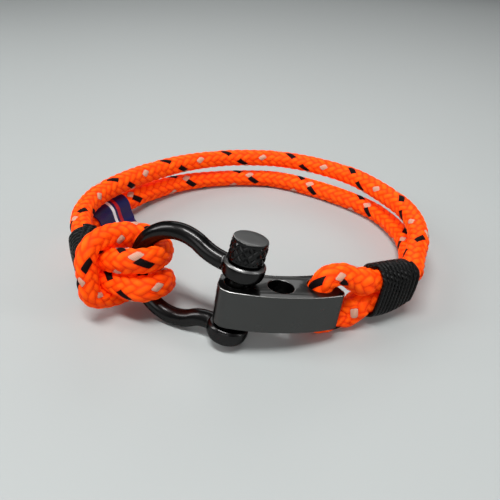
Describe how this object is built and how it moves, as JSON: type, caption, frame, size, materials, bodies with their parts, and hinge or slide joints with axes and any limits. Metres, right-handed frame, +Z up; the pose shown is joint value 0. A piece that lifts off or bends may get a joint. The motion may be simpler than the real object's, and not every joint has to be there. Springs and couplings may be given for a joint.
{
  "type": "shackle bracelet",
  "caption": "Bracelet of doubled braided cord closed by a bow shackle, whose screw pin passes through a curved adjuster bar with a row of holes for the fit",
  "frame": {"origin": "centre of the bounding box in plan, on the surface that the bracelet lies on", "axes": "X runs across the wrist opening from the left whipping's side to the right one's, Y from the shackle and bar at the front to the back of the strands, Z up through the opening"},
  "size_m": [0.0721, 0.0657, 0.0192],
  "materials": {
    "black_steel": "gloss black coating on steel",
    "black_bar": "gloss black coating on steel",
    "orange_cord": "braided polyester with black and silver tracers",
    "black_thread": "waxed whipping thread",
    "navy_satin": "woven satin ribbon"
  },
  "bodies": {
    "bracelet": {"shackle_bow": "black_steel", "adjuster_bar": "black_bar", "upper_strand": "orange_cord", "lower_strand": "orange_cord", "bow_hitch": "orange_cord", "bar_loop": "orange_cord", "left_whipping": "black_thread", "right_whipping": "black_thread", "label_tag": "navy_satin"},
    "pin": {"shackle_pin": "black_steel"}
  },
  "joints": [
    {"name": "pin_lifts_out", "type": "slide", "parent": "bracelet", "child": "pin", "axis": [0.1974, 0.1392, 0.9704], "range_m": [0, 0.016]}
  ]
}
